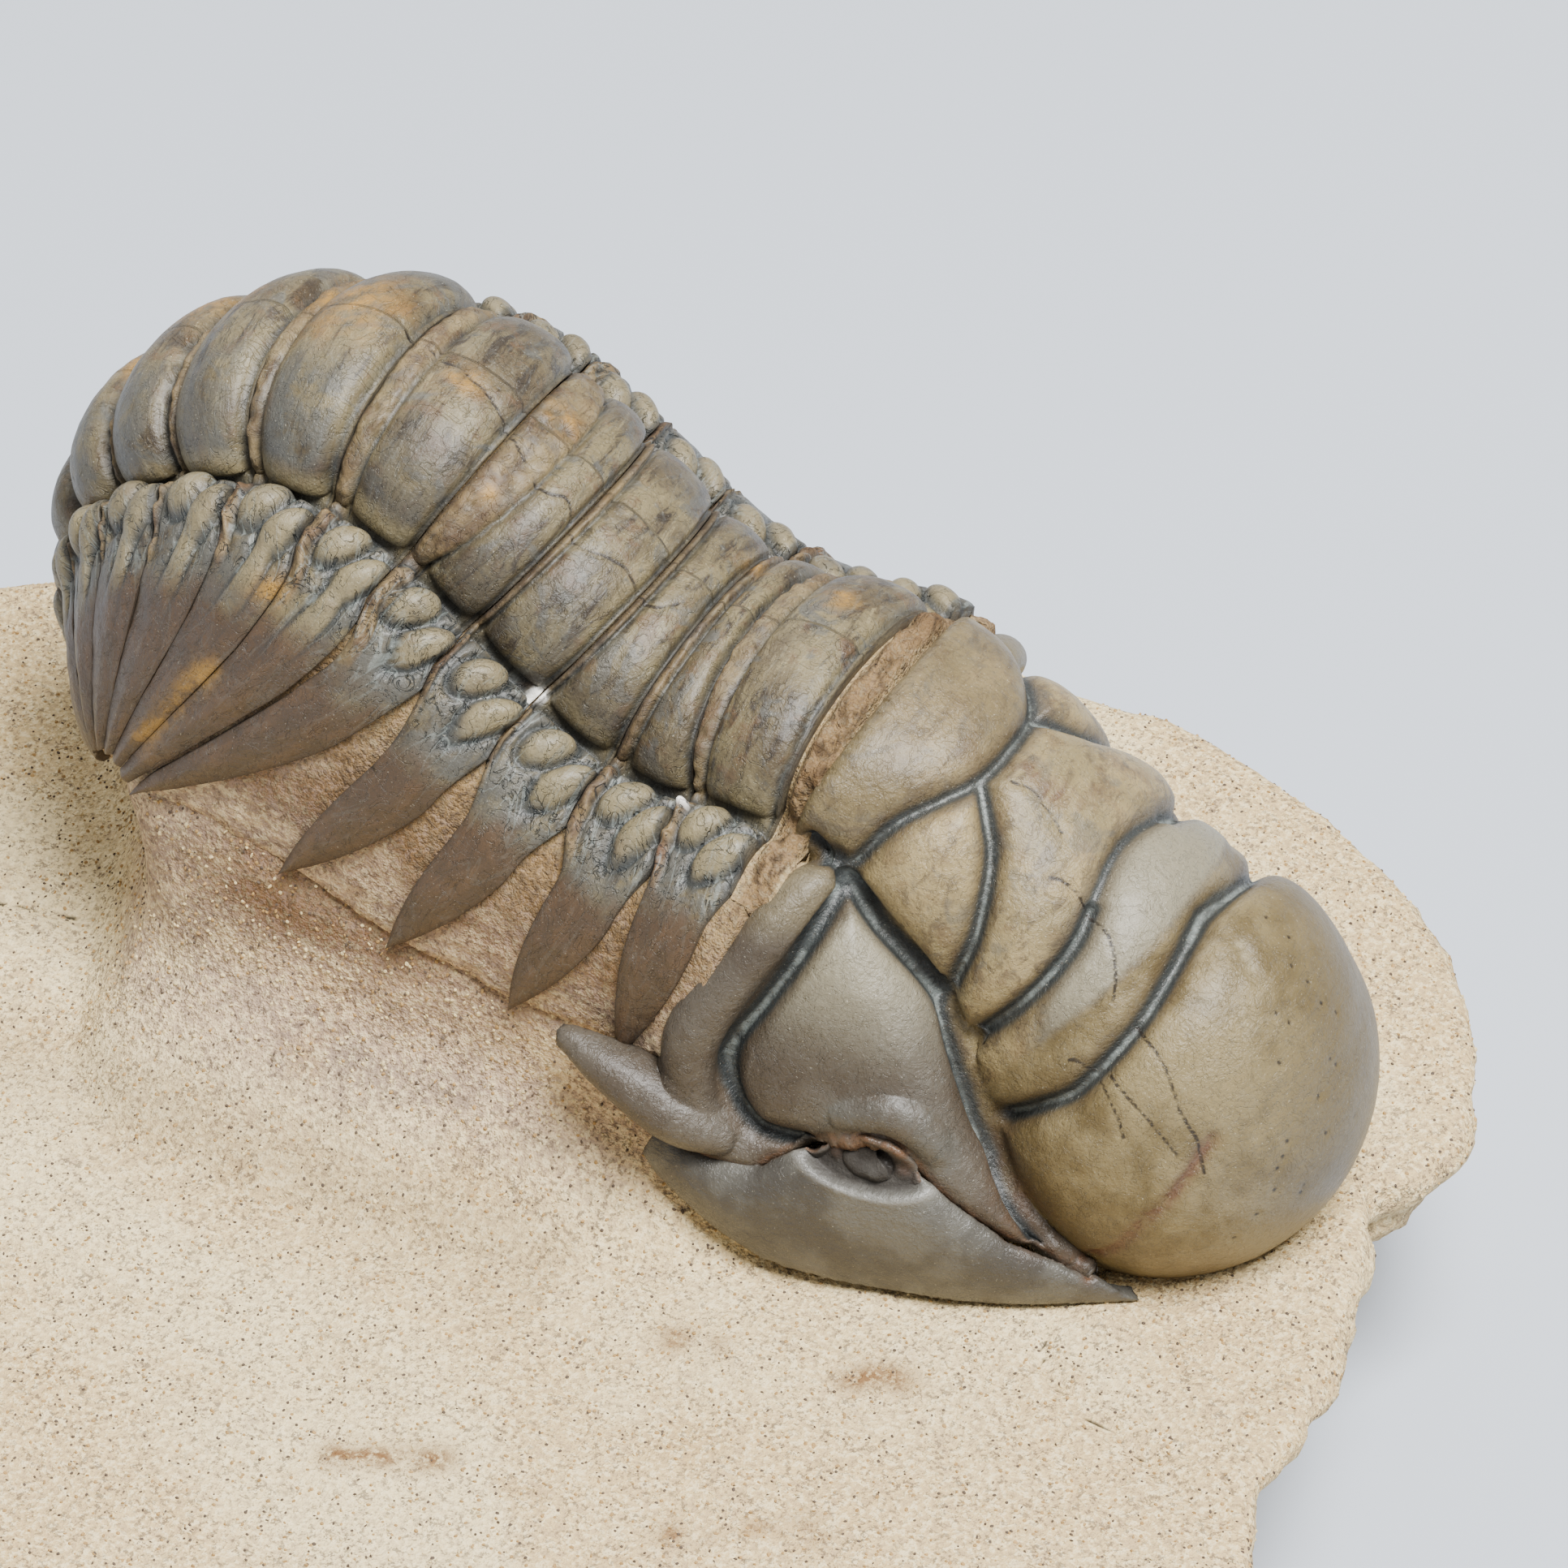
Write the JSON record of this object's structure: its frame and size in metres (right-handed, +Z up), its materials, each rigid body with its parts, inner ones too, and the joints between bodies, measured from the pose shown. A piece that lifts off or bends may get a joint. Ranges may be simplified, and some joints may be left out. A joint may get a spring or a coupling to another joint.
{
  "type": "trilobite fossil",
  "caption": "Arched trilobite fossil with a swollen head lobe, ribbed knobbed back and gathered spines, on a pedestal of its own pale limestone slab",
  "frame": {"origin": "middle of the slab's flat underside, on the surface it rests on", "axes": "+Z up; +X the way the animal faces, which is the object's longest extent; +Y the animal's left side; the animal's own plane of symmetry is parallel to XZ at y = 0.0115"},
  "size_m": [0.088, 0.077, 0.0469],
  "materials": {
    "limestone": "rough, sandy, matt",
    "head_plate": "satin, slightly polished",
    "cheek_plate": "satin, slightly polished",
    "back_plate": "satin, slightly polished",
    "tail_plate": "satin, slightly polished"
  },
  "bodies": {
    "root": {"matrix": "limestone", "cranidium": "head_plate", "free_cheek_right": "cheek_plate", "free_cheek_left": "cheek_plate", "segment_01": "back_plate", "segment_02": "back_plate", "segment_03": "back_plate", "segment_04": "back_plate", "segment_05": "back_plate", "segment_06": "back_plate", "segment_07": "back_plate", "segment_08": "back_plate", "segment_09": "back_plate", "segment_10": "back_plate", "segment_11": "back_plate", "pygidium": "tail_plate"}
  },
  "joints": []
}
